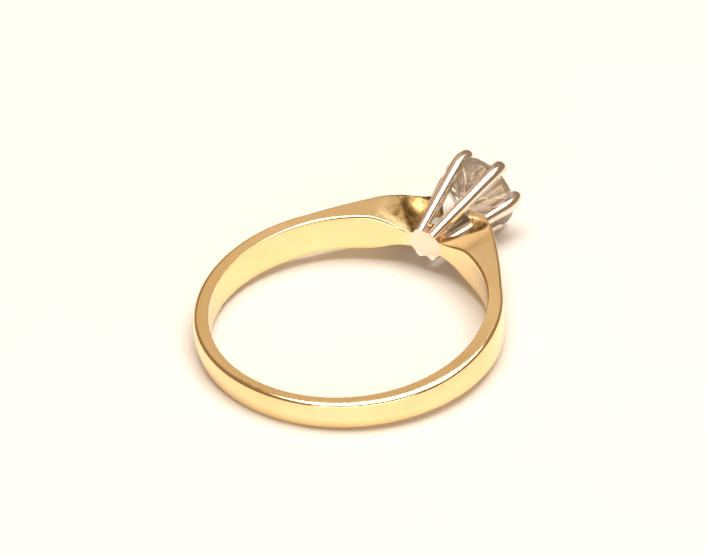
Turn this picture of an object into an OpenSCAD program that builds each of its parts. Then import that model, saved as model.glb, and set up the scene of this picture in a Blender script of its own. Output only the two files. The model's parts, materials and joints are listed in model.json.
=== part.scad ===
// Six-claw solitaire ring lying on its side, as it rests on a table.
// The ring is drawn in its own frame first: the finger hole's axis is Z, the head points to +X.
// lay_down() then tips it onto its two lower claws and the back edge of the band.

/* [Band] */
// Diameter of the finger hole
finger_d = 16.4; // [15:0.1:19]
// Wall of the band at the back, opposite the head
back_wall = 0.68; // [0.6:0.02:0.8]
// Wall of the band a quarter turn from the head
side_wall = 0.9; // [0.88:0.01:1.1]
// Width of the band at the back
back_width = 1.8; // [1.6:0.02:2]
// Width of the band a quarter turn from the head
side_width = 2.2; // [2.1:0.01:2.3]
// Width of the band at the shoulders
shoulder_width = 2.48; // [2.4:0.02:2.6]

/* [Shoulders] */
// Angle from the head at which the shoulders leave the round band
shoulder_angle = 50; // [47:1:53]
// How far the shoulders' outer face bulges from its chord
shoulder_bulge = 0.18; // [0.14:0.01:0.22]
// Height of the shoulders' tips above the finger hole
tip_height = 3.5; // [3.4:0.05:3.6]
// Distance of the tips' outer corner from the head's axis
tip_offset = 2.1; // [2.05:0.05:2.2]
// Distance of the shoulders' ends from the head's axis, at the finger hole
end_offset = 0.85; // [0.82:0.01:0.9]
// Height at which the tips reach in over the outer claws
lip_height = 2.95; // [2.8:0.05:3.1]
// Distance of the tips' inner edge from the head's axis
lip_offset = 1.05; // [1:0.05:1.2]
// Width of the band where it is pinched in at the head
pinch_width = 1.06; // [0.9:0.02:1.2]
// Radius of the scoops that pinch the band
pinch_r = 3.8; // [3.5:0.1:5]
// Radius of the round hollows beside the outer claws
hollow_r = 2; // [1.95:0.05:2.05]
// Height of the hollows' centre above the finger hole
hollow_height = 1.9; // [1.85:0.05:1.95]
// Half of the web left between the hollows above and below
hollow_floor = 0.2; // [0.18:0.01:0.22]

/* [Head] */
// Diameter of the base plug
base_d = 1.9; // [1.8:0.05:1.95]
// Height of the base plug above the finger hole
base_height = 0.95; // [0.8:0.05:1.2]
// Distance of a claw's centre line from the head's axis, at the finger hole
claw_root_offset = 0.78; // [0.7:0.01:0.85]
// Distance of a claw's centre line from the head's axis, at its elbow
claw_elbow_offset = 2.35; // [2.32:0.01:2.4]
// Height of a claw's elbow above the finger hole
claw_elbow_height = 5.95; // [5.8:0.05:6]
// Distance of a claw's tip from the head's axis
claw_tip_offset = 2.08; // [2:0.01:2.12]
// Height of the centre of a claw's tip above the finger hole
claw_tip_height = 6.42; // [6.4:0.01:6.5]
// Thickness of a claw at its root
claw_root_d = 0.66; // [0.65:0.01:0.7]
// Thickness of a claw just below its elbow
claw_elbow_d = 0.86; // [0.8:0.02:0.9]
// Thickness of a claw's tip
claw_tip_d = 0.72; // [0.7:0.01:0.76]

// Places of the claws about the head's axis, from the left one round over the top
claw_angles = [0, 58, 123, 181, 240, 300];

/* [Diamond] */
// Diameter of the stone
stone_d = 4.94; // [4.9:0.02:5.04]
// Height of the girdle's middle above the finger hole
girdle_height = 5.87; // [5.8:0.01:5.9]
// Thickness of the girdle
girdle_t = 0.12; // [0.1:0.01:0.16]
// Table's width between corners, as a share of the diameter
table_share = 0.57; // [0.54:0.01:0.6]
// Angle of the crown's main facets
crown_angle = 34.5; // [33:0.5:36]
// Angle of the star facets
star_angle = 22; // [20:0.5:24]
// Angle of the pavilion's main facets
pavilion_angle = 40.8; // [40:0.2:41.6]
// How far the lower half facets reach towards the culet
lower_half_share = 0.77; // [0.74:0.01:0.8]

/* [Hidden] */
$fn = 96;

// Colours
yellow_gold = [0.86, 0.68, 0.36];
white_gold = [0.84, 0.82, 0.79];
clear_stone = [0.78, 0.84, 0.86];

// Band: the outer circle is shifted towards the head, so the wall is thinnest at the back
finger_r = finger_d / 2;
band_shift = side_wall - back_wall;
band_r = finger_r + side_wall;
// Ample length for anything that cuts right through the ring, and the margin of shapes cut to size
through = 40;
margin = 1;
// Facets round the large circles and round the claws
large_fn = 180;
claw_fn = 48;

// The band's width changes at these shares of its outer radius from the finger hole's axis
narrow_until = -0.8;
middle_at = -0.4;
full_from = 0.5;
// Part of the widening from back to side that is reached at the middle point
middle_widening = 0.3;

// Shoulder: an arc from the round band to the outer corner of the tip
arc_start = [band_shift + band_r * cos(shoulder_angle), band_r * sin(shoulder_angle)];
arc_end = [finger_r + tip_height, tip_offset];
arc_chord = norm(arc_end - arc_start);
arc_along = (arc_end - arc_start) / arc_chord;
arc_outward = [-arc_along[1], arc_along[0]];
arc_r = (arc_chord * arc_chord / 4 + shoulder_bulge * shoulder_bulge) / (2 * shoulder_bulge);
arc_centre = (arc_start + arc_end) / 2 - arc_outward * (arc_r - shoulder_bulge);
// The shoulder's block begins this far inside the round band
block_overlap = 0.7;
block_x = arc_start[0] - block_overlap;

// Claws splay at this angle from the head's axis
claw_splay = atan((claw_elbow_offset - claw_root_offset) / claw_elbow_height);
claw_elbow = [finger_r + claw_elbow_height, claw_elbow_offset];
claw_tip = [finger_r + claw_tip_height, claw_tip_offset];
// The balls at a claw's elbow and tip are a little fuller than the wire between them
ball_swell = 1.03;
elbow_r = claw_elbow_d / 2 * ball_swell;
tip_r = claw_tip_d / 2 * ball_swell;
// A claw starts inside the finger hole, which then trims it
root_run = 0.5;

// Stone
stone_r = stone_d / 2;
girdle_x = finger_r + girdle_height;
crown_h = stone_r * (1 - table_share) * tan(crown_angle);
pavilion_h = stone_r * tan(pavilion_angle);
// Facets come in eight sectors; half facets lie a quarter sector from the mains
sector = 360 / 8;
half_sector = sector / 2;
quarter_sector = sector / 4;
// Where the star facets' lower points meet the mains
star_edge_r = stone_r * table_share * cos(half_sector);
star_tip_r = (stone_r * tan(crown_angle) - crown_h - star_edge_r * tan(star_angle))
    / (cos(half_sector) * tan(crown_angle) - tan(star_angle));
star_tip_h = (stone_r - star_tip_r * cos(half_sector)) * tan(crown_angle);
upper_half_angle = atan(star_tip_h / ((stone_r - star_tip_r) * cos(quarter_sector)));
// Where the lower half facets' points meet the pavilion's mains
lower_tip_r = stone_r * (1 - lower_half_share);
lower_tip_h = (stone_r - lower_tip_r * cos(half_sector)) * tan(pavilion_angle);
lower_half_angle = atan(lower_tip_h / ((stone_r - lower_tip_r) * cos(quarter_sector)));
// Points round the girdle: several along each half facet
per_half = 3;
per_sector = 2 * per_half;
girdle_n = 8 * per_sector;
girdle_step = 360 / girdle_n;
// Gap between the stone and the seats cut in the claws
seat_gap = 0.01;

// Lying on a table: the ring tips until its back edge and its two lower claws touch, or the stone
// where that is lower
back_x = band_r - band_shift;
// Part of a lower claw's offset that points straight down
down_share = -sin(claw_angles[4]);
claw_run = claw_elbow[0] + back_x;
claw_drop = claw_elbow_offset * down_share - back_width / 2;
claw_tilt = atan(claw_drop / claw_run) + asin(elbow_r / norm([claw_run, claw_drop]));
stone_tilt = atan((stone_r - back_width / 2) / (girdle_x - girdle_t / 2 + back_x));
tilt = max(claw_tilt, stone_tilt);
rest_z = back_x * sin(tilt) + back_width / 2 * cos(tilt);
// The model's origin is under the middle of its length
lowest_x = -back_x * cos(tilt) - back_width / 2 * sin(tilt);
highest_x = claw_tip[0] * cos(tilt) + claw_tip_offset * down_share * sin(tilt) + tip_r;
middle_x = (lowest_x + highest_x) / 2;

module lay_down() {
    translate([-middle_x, 0, rest_z]) rotate([0, -tilt, 0]) children();
}

// Everything inside the finger hole
module finger_space() {
    cylinder(h = through, r = finger_r, center = true, $fn = large_fn);
}

// One side's bounding cylinder of the shoulders' outer face
module shoulder_arc(side) {
    translate([arc_centre[0], side * arc_centre[1], 0])
        cylinder(h = through, r = arc_r, center = true, $fn = large_fn);
}

// The band seen along the finger hole's axis, before its width is cut
module band_blank() {
    translate([band_shift, 0, 0]) cylinder(h = through, r = band_r, center = true, $fn = large_fn);
    intersection() {
        shoulder_arc(1);
        shoulder_arc(-1);
        translate([block_x, -band_r, -through / 2])
            cube([arc_end[0] - block_x, 2 * band_r, through]);
    }
}

// The band seen from its side: narrow at the back and broad at the shoulders
module band_taper() {
    back = back_width / 2;
    side = side_width / 2;
    shoulder = shoulder_width / 2;
    middle = back + (side - back) * middle_widening;
    outline = [[-band_r - margin, back], [narrow_until * band_r, back], [middle_at * band_r, middle],
               [0, side], [full_from * band_r, shoulder], [arc_end[0] + margin, shoulder]];
    rotate([90, 0, 0]) linear_extrude(height = through, center = true)
        polygon(concat(outline, [for (i = [len(outline) - 1:-1:0]) [outline[i][0], -outline[i][1]]]));
}

// The scoops above and below that pinch one shoulder in towards the head
module pinch_scoops(side) {
    for (face = [-1, 1])
        translate([finger_r, side * base_d / 2, face * (pinch_width / 2 + pinch_r)])
            rotate([0, 0, side * claw_splay]) rotate([0, 90, 0])
                cylinder(h = through / 2, r = pinch_r, center = true);
}

// The round hollows above and below one shoulder's end
module end_hollows(side) {
    for (face = [-1, 1])
        translate([finger_r, side * end_offset, 0]) rotate([0, 0, side * claw_splay])
            translate([hollow_height, 0, face * (hollow_floor + hollow_r)]) sphere(r = hollow_r);
}

// The gap between the shoulders: its walls follow the outer claws up to the tips' lips
module head_gap() {
    slope = tan(claw_splay);
    half = [[-margin, end_offset - margin * slope], [lip_height, end_offset + lip_height * slope],
            [lip_height, lip_offset], [tip_height + margin, lip_offset]];
    translate([finger_r, 0, 0]) linear_extrude(height = through, center = true)
        polygon(concat(half, [for (i = [len(half) - 1:-1:0]) [half[i][0], -half[i][1]]]));
}

// Core of the head's base, along the head's axis
module base_core() {
    translate([finger_r - root_run, 0, 0]) rotate([0, 90, 0])
        cylinder(h = root_run + base_height, r = base_d / 2);
}

// A claw before its seat is cut, in the plane at this angle about the head's axis
module claw_wire(angle) {
    splay_run = norm([claw_elbow_height, claw_elbow_offset - claw_root_offset]);
    taper = (claw_elbow_d - claw_root_d) / splay_run;
    rotate([angle, 0, 0]) {
        translate([claw_elbow[0], claw_elbow[1], 0]) {
            rotate([0, 0, claw_splay]) rotate([0, -90, 0])
                cylinder(h = splay_run + root_run, d1 = claw_elbow_d,
                         d2 = claw_root_d - taper * root_run, $fn = claw_fn);
            sphere(r = elbow_r, $fn = claw_fn);
        }
        bend = claw_tip - claw_elbow;
        translate([claw_elbow[0], claw_elbow[1], 0])
            rotate([0, 0, atan2(bend[1], bend[0])]) rotate([0, 90, 0])
                cylinder(h = norm(bend), d1 = claw_elbow_d, d2 = claw_tip_d, $fn = claw_fn);
        translate([claw_tip[0], claw_tip[1], 0])
            sphere(r = tip_r, $fn = claw_fn);
    }
}

// The room that the stone takes up, as a turned outline
module stone_room() {
    g = girdle_t / 2;
    translate([girdle_x, 0, 0]) rotate([0, 90, 0]) rotate_extrude()
        polygon([[0, -g - pavilion_h - seat_gap],
                 [lower_tip_r + seat_gap, -g - lower_tip_h],
                 [stone_r + seat_gap, -g],
                 [stone_r + seat_gap, g],
                 [star_tip_r + seat_gap, g + star_tip_h + seat_gap],
                 [stone_r * table_share, g + crown_h + seat_gap],
                 [0, g + crown_h + seat_gap]]);
}

module claw(angle) {
    color(white_gold) lay_down() difference() {
        claw_wire(angle);
        finger_space();
        stone_room();
    }
}

module shank() {
    color(yellow_gold) lay_down() difference() {
        intersection() {
            band_blank();
            band_taper();
        }
        finger_space();
        base_core();
        head_gap();
        for (side = [-1, 1]) {
            pinch_scoops(side);
            end_hollows(side);
            claw_wire(claw_angles[side > 0 ? 0 : 3]);
        }
    }
}

module head_base() {
    color(white_gold) lay_down() difference() {
        base_core();
        finger_space();
        for (angle = claw_angles) claw_wire(angle);
    }
}

// A point at this angle about the stone's axis
function around(angle, radius, height) = [radius * cos(angle), radius * sin(angle), height];

// Height of the girdle's wavy edge: half facets cut the round girdle lowest at their middles
function girdle_wave(angle, slope) =
    let (off_middle = abs(angle % half_sector - quarter_sector))
    stone_r * (cos(quarter_sector) - cos(off_middle)) * tan(slope);

// Corners: table, star tips, girdle's upper edge, girdle's lower edge, lower half tips, culet
stone_corners = concat(
    [for (i = [0:7]) around(i * sector, stone_r * table_share, girdle_t / 2 + crown_h)],
    [for (i = [0:7]) around((i + 0.5) * sector, star_tip_r, girdle_t / 2 + star_tip_h)],
    [for (i = [0:girdle_n - 1]) let (a = i * girdle_step)
        around(a, stone_r, girdle_t / 2 + girdle_wave(a, upper_half_angle))],
    [for (i = [0:girdle_n - 1]) let (a = i * girdle_step)
        around(a, stone_r, -girdle_t / 2 - girdle_wave(a, lower_half_angle))],
    [for (i = [0:7]) around((i + 0.5) * sector, lower_tip_r, -girdle_t / 2 - lower_tip_h)],
    [[0, 0, -girdle_t / 2 - pavilion_h]]);

function table_at(i) = i % 8;
function star_at(i) = 8 + (i + 8) % 8;
function upper_at(j) = 16 + (j + girdle_n) % girdle_n;
function lower_at(j) = 16 + girdle_n + (j + girdle_n) % girdle_n;
function lower_tip_at(i) = 16 + 2 * girdle_n + (i + 8) % 8;
culet_at = 24 + 2 * girdle_n;

// Facets, each wound clockwise as seen from outside
table_facet = [[for (i = [7:-1:0]) table_at(i)]];
star_facets = [for (i = [0:7]) [table_at(i), table_at(i + 1), star_at(i)]];
crown_mains = [for (i = [0:7]) [star_at(i - 1), table_at(i), star_at(i), upper_at(i * per_sector)]];
upper_halves = [for (i = [0:7]) for (h = [0, 1])
    concat([star_at(i)], [for (j = [per_half:-1:0]) upper_at(i * per_sector + h * per_half + j)])];
girdle_strips = [for (j = [0:girdle_n - 1])
    [upper_at(j), upper_at(j + 1), lower_at(j + 1), lower_at(j)]];
lower_halves = [for (i = [0:7]) for (h = [0, 1])
    concat([lower_tip_at(i)], [for (j = [0:per_half]) lower_at(i * per_sector + h * per_half + j)])];
pavilion_mains = [for (i = [0:7])
    [lower_tip_at(i), culet_at, lower_tip_at(i - 1), lower_at(i * per_sector)]];

module diamond() {
    color(clear_stone) lay_down() translate([girdle_x, 0, 0]) rotate([0, 90, 0])
        polyhedron(stone_corners, concat(table_facet, star_facets, crown_mains, upper_halves,
                                         girdle_strips, lower_halves, pavilion_mains));
}

shank();
head_base();
claw(claw_angles[0]);  // claw_left
claw(claw_angles[1]);  // claw_upper_left
claw(claw_angles[2]);  // claw_upper_right
claw(claw_angles[3]);  // claw_right
claw(claw_angles[4]);  // claw_lower_right
claw(claw_angles[5]);  // claw_lower_left
diamond();
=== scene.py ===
"""Looks of a six-claw solitaire ring that lies on its side.

Shapes are worked out in the ring's own frame, in millimetres: the finger hole's axis is Z
and the head points to +X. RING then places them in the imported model's frame, in metres.
"""

import json
import math

import bmesh
import bpy
from mathutils import Matrix, Vector


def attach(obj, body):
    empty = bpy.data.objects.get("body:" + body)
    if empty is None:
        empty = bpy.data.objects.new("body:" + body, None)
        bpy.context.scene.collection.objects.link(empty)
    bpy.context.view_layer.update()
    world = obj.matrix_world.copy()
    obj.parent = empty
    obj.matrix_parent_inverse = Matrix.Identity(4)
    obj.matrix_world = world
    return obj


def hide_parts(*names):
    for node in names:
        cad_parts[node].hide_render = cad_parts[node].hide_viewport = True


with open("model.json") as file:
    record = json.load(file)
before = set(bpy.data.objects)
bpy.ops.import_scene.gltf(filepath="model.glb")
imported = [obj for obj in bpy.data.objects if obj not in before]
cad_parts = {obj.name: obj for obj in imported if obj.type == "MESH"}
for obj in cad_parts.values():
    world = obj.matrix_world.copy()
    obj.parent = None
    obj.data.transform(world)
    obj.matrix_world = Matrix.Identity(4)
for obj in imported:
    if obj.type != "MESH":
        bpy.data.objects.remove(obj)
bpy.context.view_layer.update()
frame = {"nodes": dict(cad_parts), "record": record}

# ---------------------------------------------------------------- sizes, in millimetres

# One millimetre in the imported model's unit, the metre
MILLIMETRE = 0.001
FINGER_R = 8.2

# Band: the wall is thinnest at the back, and even from the sides to the shoulders
BACK_WALL = 0.66
SIDE_WALL = 0.91
EVEN_FROM = math.radians(95)
BACK_HALF_WIDTH = 0.9
FULL_HALF_WIDTH = 1.24
# The band widens between these distances from the finger hole's axis, along X
WIDENS_FROM = -7.5
WIDENS_TO = 8
# How far the outer face swells at mid-width, at the back and at the shoulders
BACK_CROWN = 0.1
SHOULDER_CROWN = 0.03
# The worn outer edge, as (width, depth): broadly round at the back, tighter at the shoulders
BACK_EDGE = (0.5, 0.25)
SHOULDER_EDGE = (0.2, 0.14)
# From this angle on, in radians, the outer edge and the swell are fully the back's
BACK_FROM = 2.2
# The bore's edge has a polished bevel at the shoulders, as (width, depth), which fades towards
# the back
BORE_BEVEL = (0.2, 0.13)
BEVEL_POWER = 1.6
BEVEL_FADES_FROM = math.radians(35)
BEVEL_FADES_TO = math.radians(75)
# Shares of the bevel that are lost at the back and by the shoulder's corner, where on the way to
# the corner that loss begins, and the share that is left along the shoulder's end
BACK_BEVEL_LOSS = 0.9
CORNER_BEVEL_LOSS = 0.7
CORNER_LOSS_FROM = 0.75
END_BEVEL = 0.15

# Shoulders: the outer face leaves the round band and runs to the outer corner of the tip
SHOULDER_ANGLE = math.radians(50)
SHOULDER_BULGE = 0.18
TIP_HEIGHT = 3.5
TIP_X = FINGER_R + TIP_HEIGHT
TIP_Y = 2.1
# The tips are worn lower from this distance on, along X
TIP_WEAR_FROM = 10.6
TIP_WEAR = 0.18
# The shoulders' ends run along the outer claws, then reach in over them as a lip
END_OFFSET = 0.84
LIP_HEIGHT = 2.95
LIP_OFFSET = 1.05
# The lip's bend starts this far below the lip's height, and its corner and end are this far above
LIP_BEND_START = 0.25
LIP_BEND_CORNER = 0.05
LIP_BEND_END = 0.2
# Share of the shoulder's outer face that is reached where its end begins
CORNER_SHARE = 0.66
# Beside the head each shoulder is pinched in, which eases off between these distances from the
# outer claw's centre line
PINCH_HALF_WIDTH = 0.53
PINCH_EASES_FROM = 0.95
PINCH_EASES_TO = 4.0
# For each millimetre above the finger hole, the pinched part gains this much half width, and the
# pinch ends this much nearer the claw
PINCH_RISE = 0.05
PINCH_LEAN = 0.12

# Round hollow beside an outer claw: a ball at its middle, which narrows towards the bore
HOLLOW_R = 2.0
HOLLOW_HEIGHT = 1.9
HOLLOW_FLOOR = 0.2
# For each millimetre below its middle, the hollow's radius shrinks and its floor rises this much
HOLLOW_NARROWING = 0.81
HOLLOW_RISE = 0.13
# The rim is worn round where the hollow and the plain face are nearer each other than this
HOLLOW_RIM = 0.14

# Plug under the head: its foot is a long oval, and its top is round
BASE_R = 0.95
BASE_LENGTH = 1.14
BASE_HEIGHT = 0.95
BASE_EDGE = 0.14
FOOT_HEIGHT = 0.15
FOOT_NARROWING = 0.04
# The foot stands this far proud of the finger hole, so that it shows there
FOOT_PROUD = 0.006
# Height where the plug has this share of its foot's oval left
WAIST_HEIGHT = 0.45
WAIST_SHARE = 0.4
PLUG_TOP_RISE = 0.05

# Claws: places are (height above the finger hole, offset from the head's axis)
CLAW_ROOT_OFFSET = 0.78
CLAW_ELBOW = (5.95, 2.35)
CLAW_SLOPE = (CLAW_ELBOW[1] - CLAW_ROOT_OFFSET) / CLAW_ELBOW[0]
CLAW_STRAIGHT = 5.35
CLAW_BEND = (6.2, 2.41)
CLAW_END = (6.78, 2.02)
# Half thickness at the root, what the lower and the upper part add to it, and what the tip adds
# to it across the claw's own plane
CLAW_ROOT_HALF = 0.33
CLAW_LOWER_GAIN = 0.07
CLAW_UPPER_GAIN = 0.035
CLAW_TIP_GAIN = 0.035
# The shares of a claw's length over which it gains them
CLAW_LOWER_PART = (0, 0.45)
CLAW_UPPER_PART = (0.5, 0.85)
CLAW_TIP_PART = (0.6, 0.9)
# Length of the domed end, and the share of the thickness that is left at its very tip
DOME_LENGTH = 0.42
DOME_TIP = 0.02
CLAW_ANGLES = {
    "claw_left": 0,
    "claw_upper_left": 58,
    "claw_upper_right": 123,
    "claw_right": 181,
    "claw_lower_right": 240,
    "claw_lower_left": 300,
}

# Stone
STONE_R = 2.47
STONE_HEIGHT = 5.87
GIRDLE_X = FINGER_R + STONE_HEIGHT
GIRDLE_HALF = 0.06
TABLE_SHARE = 0.57
CROWN_ANGLE = math.radians(34.5)
PAVILION_ANGLE = math.radians(40.8)
TABLE_R = STONE_R * TABLE_SHARE
CROWN_H = (STONE_R - TABLE_R) * math.tan(CROWN_ANGLE)
PAVILION_H = STONE_R * math.tan(PAVILION_ANGLE)
SEAT_GAP = 0.01
# The seat's cutter starts with this radius under the stone, and ends above the stone's table
SEAT_POINT_R = 0.002
SEAT_TOP = 0.2
SEAT_TOP_SHARE = 0.8

# ---------------------------------------------------------------- steps of the meshes

BAND_STEPS = 65
CORNER_STEPS = 40
END_STEPS = 26
LIP_BEND_STEPS = 7
LIP_TOP_STEPS = 3
# Rows on the shank's side faces, in two runs that meet at this share of the way out
ROWS = 14
ROWS_MEET = 0.4
# A worn edge takes up this share of a run of rows at most
EDGE_MOST = 0.9
WALL_STEPS = 9
CLAW_STEPS = 22
CLAW_SIDES = 28
PLUG_SIDES = 72
# The plug's ends are closed through smaller loops, at these shares of its size
CAP_SHARES = (0.66, 0.33)
SEAT_SIDES = 96
# Edges sharper than this are shaded sharp
SMOOTH_ANGLE = math.radians(38)


def ring_frame():
    """The matrix from the ring's own frame, in millimetres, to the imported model's, in metres."""
    mount = frame["record"]["mounts"][0]
    axis = Vector(mount["axis"])
    forward = Vector((axis.z, 0, -axis.x))
    turn = Matrix((forward, axis.cross(forward), axis)).transposed().to_4x4()
    return Matrix.Translation(mount["pos_m"]) @ turn @ Matrix.Scale(MILLIMETRE, 4)


RING = ring_frame()


def ease(start, end, value):
    """0 before start, 1 after end, and smooth between them."""
    t = min(max((value - start) / (end - start), 0), 1)
    return t * t * (3 - 2 * t)


# ---------------------------------------------------------------- mesh helpers


def new_piece(name, bm, material, replaced):
    """Makes a piece from a mesh built in the ring's own frame."""
    bmesh.ops.recalc_face_normals(bm, faces=bm.faces)
    bm.transform(RING)
    mesh = bpy.data.meshes.new(name)
    bm.to_mesh(mesh)
    bm.free()
    mesh.shade_smooth()
    mesh.set_sharp_from_angle(angle=SMOOTH_ANGLE)
    piece = bpy.data.objects.new(name, mesh)
    bpy.context.scene.collection.objects.link(piece)
    mesh.materials.append(material)
    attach(piece, "root")
    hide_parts(replaced)
    return piece


def add_loop(bm, points):
    return [bm.verts.new(p) for p in points]


def skin(bm, loops):
    """Faces between loops of the same length, each closed on itself."""
    for a, b in zip(loops, loops[1:]):
        for i in range(len(a)):
            j = (i + 1) % len(a)
            bm.faces.new((a[i], a[j], b[j], b[i]))


def edge_profile(width, depth, power, steps=5):
    """Steps across a worn edge, as (distance from the wall, drop below the face).
    Power 1 is a round edge and power 2 a flat bevel."""
    profile = []
    for i in range(steps + 1):
        turn = math.pi / 2 * i / steps
        across = width * (1 - math.cos(turn) ** power)
        drop = depth * (1 - math.sin(turn) ** power)
        profile.append((across, drop))
    return profile


# ---------------------------------------------------------------- shank


def hollow_floor(height, across):
    """Half of the shank's width that the hollow leaves, or more than the shank has outside it.
    height is measured from the finger hole, and across from the shoulder's end."""
    along = height - HOLLOW_HEIGHT
    radius = HOLLOW_R + HOLLOW_NARROWING * min(along, 0)
    floor = HOLLOW_FLOOR - HOLLOW_RISE * min(along, 0)
    off_centre = math.hypot(across, max(along, 0))
    if off_centre >= radius:
        return 2 * FULL_HALF_WIDTH
    return floor + radius - math.sqrt(radius**2 - off_centre**2)


def plain_half_width(x, y):
    """Half of the shank's width along the finger hole's axis, as if it had no hollows."""
    full = BACK_HALF_WIDTH + (FULL_HALF_WIDTH - BACK_HALF_WIDTH) * ease(WIDENS_FROM, WIDENS_TO, x)
    height = x - FINGER_R
    from_claw = abs(y) - CLAW_SLOPE * height
    ends = PINCH_EASES_TO - PINCH_LEAN * max(height, 0)
    thin = PINCH_HALF_WIDTH + PINCH_RISE * max(height, 0)
    pinched = (FULL_HALF_WIDTH - thin) * (1 - ease(PINCH_EASES_FROM, ends, from_claw))
    return full - pinched - TIP_WEAR * ease(TIP_WEAR_FROM, TIP_X, x)


def hollow_half_width(x, y):
    """Half of the shank's width that the hollows leave."""
    height = x - FINGER_R
    return hollow_floor(height, abs(y) - CLAW_SLOPE * height - END_OFFSET)


def half_width(x, y):
    """Half of the shank's width along the finger hole's axis, with the hollows' rims worn round."""
    plain = plain_half_width(x, y)
    hollow = hollow_half_width(x, y)
    blend = max(HOLLOW_RIM - abs(plain - hollow), 0) / HOLLOW_RIM
    return min(plain, hollow) - blend**2 * HOLLOW_RIM / 4


def shoulder_outline():
    """Centre, radius, and start and end angles of the shoulder's outer face."""
    start = (FINGER_R + SIDE_WALL) * Vector((math.cos(SHOULDER_ANGLE), math.sin(SHOULDER_ANGLE)))
    end = Vector((TIP_X, TIP_Y))
    chord = (end - start).length
    along = (end - start) / chord
    radius = (chord * chord / 4 + SHOULDER_BULGE**2) / (2 * SHOULDER_BULGE)
    centre = (start + end) / 2 - Vector((-along.y, along.x)) * (radius - SHOULDER_BULGE)
    first = math.atan2(start.y - centre.y, start.x - centre.x)
    last = math.atan2(end.y - centre.y, end.x - centre.x)
    return centre, radius, first, last


def on_shoulder(share):
    """A point on the shoulder's outer face: share 0 at the round band and 1 at the tip."""
    centre, radius, first, last = shoulder_outline()
    turn = first + (last - first) * share
    return centre + radius * Vector((math.cos(turn), math.sin(turn)))


def on_bore(turn):
    return FINGER_R * Vector((math.cos(turn), math.sin(turn)))


def row_places(start, end, profile, edge_first):
    """Places of rows between two points: some across a worn edge, the rest evenly spread.
    Each is (point, drop below the face). The worn edge is at start if edge_first, or at end."""
    run = end - start
    length = run.length
    fit = min(1, EDGE_MOST * length / profile[-1][0])
    edge = [(across * fit, drop * fit) for across, drop in profile]
    width = edge[-1][0]
    even = [width + (length - width) * i / (ROWS + 1) for i in range(1, ROWS + 1)]
    places = edge + [(distance, 0) for distance in even]
    if edge_first:
        return [(start + run * distance / length, drop) for distance, drop in places]
    return [(end - run * distance / length, drop) for distance, drop in reversed(places)]


def raised(place, side):
    """A row's place on the shank's upper face, for side 1, or on its lower face, for side -1."""
    point, drop = place
    return Vector((point.x, point.y, side * (half_width(point.x, point.y) - drop)))


def wall(top, bottom, outward, crown):
    """Points down a wall between its top and bottom edges, swelling outward at its middle."""
    points = []
    for i in range(1, WALL_STEPS + 1):
        share = i / (WALL_STEPS + 1)
        swell = crown * (1 - (2 * share - 1) ** 2)
        points.append(top.lerp(bottom, share) + Vector((outward.x, outward.y, 0)) * swell)
    return points


def closed_section(places, outward, crown):
    """A loop round the shank: over the top, down the outer wall, back underneath and up inside."""
    top = [raised(p, 1) for p in places]
    bottom = [raised(p, -1) for p in reversed(places)]
    outer = wall(top[-1], bottom[0], outward, crown)
    inner = wall(bottom[-1], top[0], outward, 0)
    return top + outer + bottom + inner


def section(bore, outer, bevel, rounded, crown):
    """A loop round the shank between a point on its bore and one on its outer face."""
    middle = bore.lerp(outer, ROWS_MEET)
    inner = row_places(bore, middle, bevel, edge_first=True)
    places = inner + [(middle, 0)] + row_places(middle, outer, rounded, edge_first=False)
    return closed_section(places, (outer - bore).normalized(), crown)


def outer_edge(backness):
    """The worn outer edge: backness is 0 at the shoulders and 1 at the back."""
    width = SHOULDER_EDGE[0] + (BACK_EDGE[0] - SHOULDER_EDGE[0]) * backness
    depth = SHOULDER_EDGE[1] + (BACK_EDGE[1] - SHOULDER_EDGE[1]) * backness
    return edge_profile(width, depth, 1, steps=8)


def bevel_share(turn):
    """Share of the bore's bevel at an angle from the head."""
    return 1 - BACK_BEVEL_LOSS * ease(BEVEL_FADES_FROM, BEVEL_FADES_TO, turn)


def bore_bevel(share):
    """The bore's bevel, at this share of its full size."""
    return edge_profile(BORE_BEVEL[0] * share, BORE_BEVEL[1] * share, BEVEL_POWER)


def band_sections():
    """Sections of the round band on the left side, from its back to the shoulder."""
    sections = []
    for i in range(BAND_STEPS + 1):
        turn = math.pi - (math.pi - SHOULDER_ANGLE) * i / BAND_STEPS
        thin = ease(EVEN_FROM, math.pi, turn)
        outer = on_bore(turn) * (1 + (SIDE_WALL + (BACK_WALL - SIDE_WALL) * thin) / FINGER_R)
        backness = ease(SHOULDER_ANGLE, BACK_FROM, turn)
        crown = SHOULDER_CROWN + (BACK_CROWN - SHOULDER_CROWN) * backness
        bevel = bore_bevel(bevel_share(turn))
        sections.append(section(on_bore(turn), outer, bevel, outer_edge(backness), crown))
    return sections


def shoulder_sections():
    """Sections from the round band to where the shoulder's end begins, on the left side."""
    corner_angle = math.asin(END_OFFSET / FINGER_R)
    sections = []
    for i in range(1, CORNER_STEPS + 1):
        t = i / CORNER_STEPS
        turn = SHOULDER_ANGLE + (corner_angle - SHOULDER_ANGLE) * t
        loss = CORNER_BEVEL_LOSS * ease(CORNER_LOSS_FROM, 1, t)
        bevel = bore_bevel(bevel_share(turn) * (1 - loss))
        outer = on_shoulder(CORNER_SHARE * t)
        sections.append(section(on_bore(turn), outer, bevel, outer_edge(0), SHOULDER_CROWN))
    return sections


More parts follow.
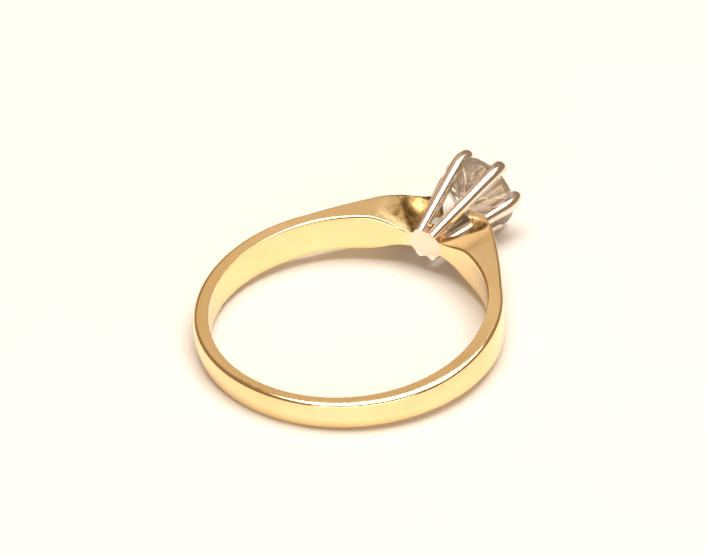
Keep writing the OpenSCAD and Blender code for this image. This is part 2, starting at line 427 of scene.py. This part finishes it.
def end_outline():
    """The shoulder's end seen along the finger hole's axis, from the bore to the lip's top."""
    points = []
    for i in range(1, END_STEPS + 1):
        height = (LIP_HEIGHT - LIP_BEND_START) * i / END_STEPS
        points.append(Vector((FINGER_R + height, END_OFFSET + CLAW_SLOPE * height)))
    start = points[-1]
    lip_x = FINGER_R + LIP_HEIGHT
    bend = Vector((lip_x + LIP_BEND_CORNER, END_OFFSET + CLAW_SLOPE * LIP_HEIGHT))
    lip = Vector((lip_x + LIP_BEND_END, LIP_OFFSET))
    for i in range(1, LIP_BEND_STEPS + 1):
        t = i / LIP_BEND_STEPS
        points.append(start.lerp(bend, t).lerp(bend.lerp(lip, t), t))
    for i in range(1, LIP_TOP_STEPS + 1):
        points.append(lip.lerp(Vector((TIP_X, LIP_OFFSET)), i / LIP_TOP_STEPS))
    return points


def horn_sections():
    """Sections from where the shoulder's end begins to the top of its tip, which is worn round."""
    outline = end_outline()
    bevel = bore_bevel(END_BEVEL)
    sections = []
    for i, inner in enumerate(outline, 1):
        t = i / len(outline)
        outer = on_shoulder(CORNER_SHARE + (1 - CORNER_SHARE) * t)
        crown = SHOULDER_CROWN * (1 - t)
        sections.append(section(inner, outer, bevel, outer_edge(0), crown))
    return sections


def paint(piece, name, value):
    """Keeps a number for each point of the mesh, which the material reads. value takes a place
    in the ring's own frame."""
    back = RING.inverted()
    layer = piece.data.attributes.new(name, "FLOAT", "POINT")
    layer.data.foreach_set("value", [value(back @ v.co) for v in piece.data.vertices])


# Where the shank's finishes and the painted shade in its hollows begin and end: drops below its
# side face, distances from the outer claw's centre line, distances from the finger hole's axis
# along X, and depths in the hollow
SATIN_DROP = (0.004, 0.03)
SATIN_GROWS = (-2, 4)
SATIN_LEAST = 0.6
PINCH_DROP = (0.02, 0.08)
PINCH_FROM_CLAW = (2.0, 3.3)
PINCH_ALONG = (7.5, 8.3)
HOLLOW_DEPTH = (0, 0.12)
# Painted shade: how far the dark gold reaches out of the hollow on the left shoulder
SHADE_DROP = (0.02, 0.1)
SHADE_FROM_CLAW = (2.3, 3.6)
SHADE_ALONG = (8.3, 8.9)


def drop_below_face(p):
    """How far a point on the shank lies below its side face."""
    return half_width(p.x, p.y) - abs(p.z)


def satin_share(p):
    """Share of satin: most on the shoulders' side faces, less on the back's, none elsewhere."""
    on_face = 1 - ease(*SATIN_DROP, drop_below_face(p))
    return on_face * (SATIN_LEAST + (1 - SATIN_LEAST) * ease(*SATIN_GROWS, p.x))


def pinch_share(p):
    """1 where the shoulders are pinched in beside the head, and 0 away from it."""
    from_claw = abs(p.y) - CLAW_SLOPE * (p.x - FINGER_R)
    on_face = 1 - ease(*PINCH_DROP, drop_below_face(p))
    return on_face * (1 - ease(*PINCH_FROM_CLAW, from_claw)) * ease(*PINCH_ALONG, p.x)


def hollow_shade_share(p):
    """1 in the hollows beside the head, where dark gold is painted in as shade, and 0 elsewhere.
    The painted shade reaches further out on the left shoulder."""
    if p.x < FINGER_R:
        return 0
    depth = ease(*HOLLOW_DEPTH, plain_half_width(p.x, p.y) - hollow_half_width(p.x, p.y))
    from_claw = p.y - CLAW_SLOPE * (p.x - FINGER_R)
    if from_claw < 0:
        return depth
    on_face = 1 - ease(*SHADE_DROP, drop_below_face(p))
    around = (1 - ease(*SHADE_FROM_CLAW, from_claw)) * ease(*SHADE_ALONG, p.x) * on_face
    return max(depth, around)


def make_shank(material):
    """The band and both shoulders in one skin, open where the head sits."""
    bm = bmesh.new()
    left = band_sections() + shoulder_sections() + horn_sections()
    right = [[Vector((p.x, -p.y, p.z)) for p in points] for points in left[:0:-1]]
    loops = [add_loop(bm, points) for points in right + left]
    skin(bm, loops)
    bm.faces.new(loops[0])
    bm.faces.new(loops[-1])
    piece = new_piece("gold_shank", bm, material, "shank")
    paint(piece, "satin", satin_share)
    paint(piece, "pinch", pinch_share)
    # The share of painted shade: dark gold in the hollows
    paint(piece, "hollow", hollow_shade_share)


# ---------------------------------------------------------------- head


def claw_path():
    """Points along a claw's centre line: straight from its root, then bent in over the stone."""
    straight_end = Vector((CLAW_STRAIGHT, CLAW_ROOT_OFFSET + CLAW_SLOPE * CLAW_STRAIGHT))
    root = Vector((0, CLAW_ROOT_OFFSET))
    points = [root.lerp(straight_end, i / CLAW_STEPS) for i in range(CLAW_STEPS)]
    bend = Vector(CLAW_BEND)
    end = Vector(CLAW_END)
    for i in range(CLAW_STEPS + 1):
        t = i / CLAW_STEPS
        points.append(straight_end.lerp(bend, t).lerp(bend.lerp(end, t), t))
    return points


def claw_radii(share, left_to_run):
    """Half thickness of a claw in its own plane and across it, at a share of its length."""
    lower = CLAW_LOWER_GAIN * ease(*CLAW_LOWER_PART, share)
    upper = CLAW_UPPER_GAIN * ease(*CLAW_UPPER_PART, share)
    body = CLAW_ROOT_HALF + lower + upper
    across = body + CLAW_TIP_GAIN * ease(*CLAW_TIP_PART, share)
    if left_to_run < DOME_LENGTH:
        cap = max(math.sqrt(1 - (1 - left_to_run / DOME_LENGTH) ** 2), DOME_TIP)
        return body * cap, across * cap
    return body, across


def claw_loops():
    """Loops round a claw that stands over the finger hole in the XY plane."""
    path = claw_path()
    runs = [0]
    for a, b in zip(path, path[1:]):
        runs.append(runs[-1] + (b - a).length)
    loops = []
    for i, point in enumerate(path):
        along = (path[min(i + 1, len(path) - 1)] - path[max(i - 1, 0)]).normalized()
        outward = Vector((-along.y, along.x))
        body, across = claw_radii(runs[i] / runs[-1], runs[-1] - runs[i])
        loop = []
        for k in range(CLAW_SIDES):
            turn = 2 * math.pi * k / CLAW_SIDES
            place = point + outward * body * math.cos(turn)
            loop.append(Vector((FINGER_R + place.x, place.y, across * math.sin(turn))))
        loops.append(loop)
    return loops


def seat_cutter():
    """The room that the stone takes up, as a turned solid. Its outline is (height above the
    girdle's middle, radius)."""
    outline = [
        (-GIRDLE_HALF - PAVILION_H - SEAT_GAP, SEAT_POINT_R),
        (-GIRDLE_HALF, STONE_R + SEAT_GAP),
        (GIRDLE_HALF, STONE_R + SEAT_GAP),
        (GIRDLE_HALF + CROWN_H + SEAT_GAP, TABLE_R),
        (GIRDLE_HALF + CROWN_H + SEAT_TOP, TABLE_R * SEAT_TOP_SHARE),
    ]
    bm = bmesh.new()
    loops = []
    for height, radius in outline:
        loop = []
        for k in range(SEAT_SIDES):
            turn = 2 * math.pi * k / SEAT_SIDES
            across = Vector((0, math.cos(turn), math.sin(turn))) * radius
            loop.append(Vector((GIRDLE_X + height, 0, 0)) + across)
        loops.append(add_loop(bm, loop))
    skin(bm, loops)
    bm.faces.new(loops[0])
    bm.faces.new(loops[-1])
    bmesh.ops.recalc_face_normals(bm, faces=bm.faces)
    bm.transform(RING)
    mesh = bpy.data.meshes.new("seat_cutter")
    bm.to_mesh(mesh)
    bm.free()
    cutter = bpy.data.objects.new("seat_cutter", mesh)
    bpy.context.scene.collection.objects.link(cutter)
    return cutter


def cut(piece, cutter):
    """Cuts a solid out of a piece and keeps the result in its mesh."""
    modifier = piece.modifiers.new("seat", "BOOLEAN")
    modifier.operation = "DIFFERENCE"
    modifier.solver = "EXACT"
    modifier.object = cutter
    graph = bpy.context.evaluated_depsgraph_get()
    result = bpy.data.meshes.new_from_object(piece.evaluated_get(graph))
    piece.modifiers.clear()
    piece.data = result
    result.shade_smooth()
    result.set_sharp_from_angle(angle=SMOOTH_ANGLE)


def make_claws(material):
    """The claws, turned round the head's axis, each with the stone's seat cut out of it."""
    cutter = seat_cutter()
    upright = claw_loops()
    for name, degrees in CLAW_ANGLES.items():
        bm = bmesh.new()
        turn = Matrix.Rotation(math.radians(degrees), 3, "X")
        loops = [add_loop(bm, [turn @ p for p in loop]) for loop in upright]
        skin(bm, loops)
        bm.faces.new(loops[0])
        bm.faces.new(loops[-1])
        piece = new_piece(name.replace("claw", "wire_claw"), bm, material, name)
        cut(piece, cutter)
    bpy.data.objects.remove(cutter)


def foot_x(y):
    """Where the plug's foot lies along X: it follows the finger hole, a trace proud of it."""
    return math.sqrt((FINGER_R - FOOT_PROUD) ** 2 - y * y)


def plug_loop(height, oval, inset):
    """A loop round the plug: oval is 1 for the foot's shape and 0 for a circle."""
    length = BASE_R + (BASE_LENGTH - BASE_R) * oval - inset
    width = BASE_R - FOOT_NARROWING * oval - inset
    points = []
    for k in range(PLUG_SIDES):
        turn = 2 * math.pi * k / PLUG_SIDES
        y = length * math.cos(turn)
        x = foot_x(y) if height == 0 else FINGER_R + height
        points.append(Vector((x, y, width * math.sin(turn))))
    return points


def close_plug(bm, loop, is_foot):
    """Closes an end of the plug with two smaller loops and a face in its middle."""
    ring = loop
    for share in CAP_SHARES:
        points = []
        for v in loop:
            y = v.co.y * share
            x = foot_x(y) if is_foot else v.co.x + PLUG_TOP_RISE * (1 - share)
            points.append(Vector((x, y, v.co.z * share)))
        inner = add_loop(bm, points)
        skin(bm, [ring, inner])
        ring = inner
    bm.faces.new(ring)


def make_base(material):
    """The plug under the claws: it follows the finger hole, and is round above it."""
    bm = bmesh.new()
    worn = edge_profile(BASE_EDGE, BASE_EDGE, 1)
    stations = [(0, 1, 0), (FOOT_HEIGHT, 1, 0), (WAIST_HEIGHT, WAIST_SHARE, 0)]
    stations += [(BASE_HEIGHT - drop, 0, across) for across, drop in reversed(worn)]
    loops = [add_loop(bm, plug_loop(*station)) for station in stations]
    skin(bm, loops)
    close_plug(bm, loops[0], is_foot=True)
    close_plug(bm, loops[-1], is_foot=False)
    new_piece("base_plug", bm, material, "head_base")


# ---------------------------------------------------------------- materials


# Deep and pale tone of each metal, and of the painted shade in the hollows
YELLOW_GOLD = ((0.93, 0.70, 0.365), (0.98, 0.76, 0.425))
WHITE_GOLD = ((0.8, 0.69, 0.58), (0.93, 0.84, 0.75))
PLUG_GOLD = ((0.97, 0.73, 0.57), (1.0, 0.77, 0.62))
# Painted shade: dark gold for the hollows, standing in for the dark reflections in them
PAINTED_SHADE_GOLD = ((0.22, 0.135, 0.045), (0.5, 0.33, 0.13))
# Painted reflection: the stone's warm tint stands in for the warm surroundings it mirrors and
# refracts
STONE_PAINTED_REFLECTION = ((0.87, 0.7, 0.51), (1.0, 0.92, 0.8))
PAPER = ((0.77, 0.735, 0.685), (0.79, 0.755, 0.705))
# Heights of the bumps in the metal, in metres
SCRATCH_DEPTH = 0.000004
PIT_DEPTH = 0.00006
WEAR_DEPTH = 0.00002


def new_material(name):
    material = bpy.data.materials.new(name)
    material.use_nodes = True
    tree = material.node_tree
    return material, tree, tree.nodes["Principled BSDF"]


def add_node(tree, kind, **settings):
    node = tree.nodes.new(kind)
    for key, value in settings.items():
        setattr(node, key, value)
    return node


def noise(tree, vector, scale, detail=3.0, roughness=0.5):
    node = add_node(tree, "ShaderNodeTexNoise")
    node.inputs["Scale"].default_value = scale
    node.inputs["Detail"].default_value = detail
    node.inputs["Roughness"].default_value = roughness
    tree.links.new(vector, node.inputs["Vector"])
    return node.outputs["Fac"]


def stretched(tree, vector, scale):
    node = add_node(tree, "ShaderNodeMapping")
    node.inputs["Scale"].default_value = scale
    tree.links.new(vector, node.inputs["Vector"])
    return node.outputs["Vector"]


def ramp(tree, value, stops):
    """stops are two of (position, colour); a number stands for a grey."""
    node = add_node(tree, "ShaderNodeValToRGB")
    for element, (position, colour) in zip(node.color_ramp.elements, stops):
        element.position = position
        rgb = colour if isinstance(colour, tuple) else (colour, colour, colour)
        element.color = (*rgb, 1)
    tree.links.new(value, node.inputs["Fac"])
    return node.outputs["Color"]


def bump(tree, height, strength, distance, normal=None):
    node = add_node(tree, "ShaderNodeBump")
    node.inputs["Strength"].default_value = strength
    node.inputs["Distance"].default_value = distance
    tree.links.new(height, node.inputs["Height"])
    if normal is not None:
        tree.links.new(normal, node.inputs["Normal"])
    return node.outputs["Normal"]


def mix(tree, share, low, high):
    """low where share is 0 and high where it is 1, for numbers."""
    node = add_node(tree, "ShaderNodeMix")
    tree.links.new(share, node.inputs["Factor"])
    for socket, value in ((node.inputs["A"], low), (node.inputs["B"], high)):
        if isinstance(value, (int, float)):
            socket.default_value = value
        else:
            tree.links.new(value, socket)
    return node.outputs["Result"]


def mix_tone(tree, share, low, high):
    """The colour low where share is 0 and high where it is 1. A mix node has sockets of the same
    name for each kind of value, so the ones for colours are found by number."""
    node = add_node(tree, "ShaderNodeMix", data_type="RGBA")
    tree.links.new(share, node.inputs[0])
    tree.links.new(low, node.inputs[6])
    tree.links.new(high, node.inputs[7])
    return node.outputs[2]


def attribute(tree, name):
    """The number that the mesh keeps under this name for each point."""
    return add_node(tree, "ShaderNodeAttribute", attribute_name=name).outputs["Fac"]


def finish_and_painted_shade(tree, place, tone, rough, normal):
    """The shank's own finishes, satin side faces and fine pits where it is pinched in, and painted
    shade in the hollows: dark gold that stands in for the dark reflections there. The mesh keeps
    the shares that say where they are."""
    # Painted shade: mottled dark gold mixed into the colour in the hollows
    patches = noise(tree, place, 2600, detail=4)
    painted_shade = ramp(tree, patches, [(0.38, PAINTED_SHADE_GOLD[0]), (0.62, PAINTED_SHADE_GOLD[1])])
    tone = mix_tone(tree, attribute(tree, "hollow"), tone, painted_shade)
    grain = noise(tree, stretched(tree, place, (1, 1, 0.2)), 9000, detail=2)
    satin = ramp(tree, grain, [(0.3, 0.3), (0.7, 0.4)])
    rough = mix(tree, attribute(tree, "satin"), rough, satin)
    pitted = attribute(tree, "pinch")
    rough = mix(tree, pitted, rough, 0.38)
    pits = mix(tree, pitted, 0.5, noise(tree, place, 3200))
    normal = bump(tree, pits, 0.3, PIT_DEPTH, normal)
    return tone, rough, normal


def polished_metal(name, tones, scratch, roughness=(0.1, 0.17), worked_and_shaded=False):
    """Polished metal: a little tone variation, fine scratches and soft wear. scratch is the
    scratches' strength, and the last argument adds the shank's own finishes and the painted shade
    in its hollows."""
    material, tree, shader = new_material(name)
    shader.inputs["Metallic"].default_value = 1
    place = add_node(tree, "ShaderNodeTexCoord").outputs["Object"]
    tone = ramp(tree, noise(tree, place, 400), [(0.3, tones[0]), (0.7, tones[1])])
    wear = noise(tree, place, 900, detail=6, roughness=0.6)
    rough = ramp(tree, wear, [(0.3, roughness[0]), (0.75, roughness[1])])
    lines = noise(tree, stretched(tree, place, (1, 12, 3)), 2500, detail=2)
    normal = bump(tree, lines, scratch, SCRATCH_DEPTH)
    if worked_and_shaded:
        tone, rough, normal = finish_and_painted_shade(tree, place, tone, rough, normal)
    tree.links.new(tone, shader.inputs["Base Color"])
    tree.links.new(rough, shader.inputs["Roughness"])
    soft = bump(tree, noise(tree, place, 500, detail=2), 0.12, WEAR_DEPTH, normal)
    tree.links.new(soft, shader.inputs["Normal"])
    return material


def stone_material():
    """Diamond: mostly clear, with a warm tint that is painted reflection of the warm surroundings
    seen in the stone, and a polish; both vary a little.
    """
    material, tree, shader = new_material("brilliant_stone")
    place = add_node(tree, "ShaderNodeTexCoord").outputs["Object"]
    # Painted reflection: a warm tint in place of the surroundings seen through the stone
    painted_reflection = ramp(tree, noise(tree, place, 700), [(0.35, STONE_PAINTED_REFLECTION[0]), (0.62, STONE_PAINTED_REFLECTION[1])])
    tree.links.new(painted_reflection, shader.inputs["Base Color"])
    shader.inputs["Transmission Weight"].default_value = 0.8
    shader.inputs["IOR"].default_value = 2.42
    polish = ramp(tree, noise(tree, place, 1500), [(0.4, 0.02), (0.8, 0.06)])
    tree.links.new(polish, shader.inputs["Roughness"])
    return material


def floor_material():
    """Pale warm paper that varies very little."""
    material, tree, shader = new_material("floor_paper")
    place = add_node(tree, "ShaderNodeTexCoord").outputs["Object"]
    tone = ramp(tree, noise(tree, place, 60), [(0.3, PAPER[0]), (0.7, PAPER[1])])
    tree.links.new(tone, shader.inputs["Base Color"])
    shader.inputs["Roughness"].default_value = 0.6
    return material


# ---------------------------------------------------------------- stage, light and camera


def make_floor():
    """A flat square of paper, far wider than the view."""
    mesh = bpy.data.meshes.new("floor")
    reach = 3.0
    corners = [(-reach, -reach, 0), (reach, -reach, 0), (reach, reach, 0), (-reach, reach, 0)]
    mesh.from_pydata(corners, [], [(0, 1, 2, 3)])
    floor = bpy.data.objects.new("floor", mesh)
    bpy.context.scene.collection.objects.link(floor)
    mesh.materials.append(floor_material())


def area_light(name, place, size, power, colour):
    """A rectangular lamp that points at the frame's origin."""
    light = bpy.data.lights.new(name, "AREA")
    light.shape = "RECTANGLE"
    light.size, light.size_y = size
    light.energy = power
    light.color = colour
    lamp = bpy.data.objects.new(name, light)
    lamp.location = place
    lamp.rotation_euler = (-Vector(place)).to_track_quat("-Z", "Y").to_euler()
    bpy.context.scene.collection.objects.link(lamp)


def make_light():
    """A wide soft light overhead, a warm wall behind and a low fill in front, in a dim room."""
    bpy.context.scene.view_settings.view_transform = "Standard"
    world = bpy.data.worlds.new("studio")
    bpy.context.scene.world = world
    world.use_nodes = True
    background = world.node_tree.nodes["Background"]
    background.inputs["Color"].default_value = (0.62, 0.42, 0.26, 1)
    background.inputs["Strength"].default_value = 0.5
    area_light("overhead", (0.04, -0.04, 0.5), (0.32, 0.52), 3.55, (1, 0.98, 0.95))
    area_light("wall", (0.34, 0.5, 0.5), (0.45, 0.4), 0.22, (1, 0.82, 0.6))
    area_light("fill", (-0.42, -0.34, 0.2), (0.7, 0.3), 2, (1, 0.93, 0.83))


def make_camera():
    """The photograph's view, fitted to the band's and the head's edges in the ring's own frame."""
    azimuth = math.radians(217.056)
    elevation = math.radians(38.198)
    roll = math.radians(-4.840)
    target = Vector((3.415, 1.998, 0))
    distance = 296.69
    level = math.cos(elevation)
    back = Vector((level * math.cos(azimuth), level * math.sin(azimuth), math.sin(elevation)))
    right = Vector((0, 0, 1)).cross(back).normalized()
    up = back.cross(right)
    right, up = (
        math.cos(roll) * right + math.sin(roll) * up,
        math.cos(roll) * up - math.sin(roll) * right,
    )
    place = Matrix.Translation(RING @ (target + back * distance))
    turn = RING.to_3x3() @ Matrix((right, up, back)).transposed() * (1 / MILLIMETRE)
    data = bpy.data.cameras.new("camera")
    data.sensor_width = 36
    data.lens = 255.72
    data.clip_start = 0.01
    camera = bpy.data.objects.new("camera", data)
    camera.matrix_world = place @ turn.to_4x4()
    bpy.context.scene.collection.objects.link(camera)
    bpy.context.scene.camera = camera


yellow = polished_metal("yellow_gold", YELLOW_GOLD, scratch=0.12, worked_and_shaded=True)
white = polished_metal("white_gold", WHITE_GOLD, scratch=0.2, roughness=(0.15, 0.25))
plug = polished_metal("plug_gold", PLUG_GOLD, scratch=0.08)
make_shank(yellow)
make_claws(white)
make_base(plug)
stone = frame["nodes"]["diamond"]
stone.data.materials.clear()
stone.data.materials.append(stone_material())
make_floor()
make_light()
make_camera()
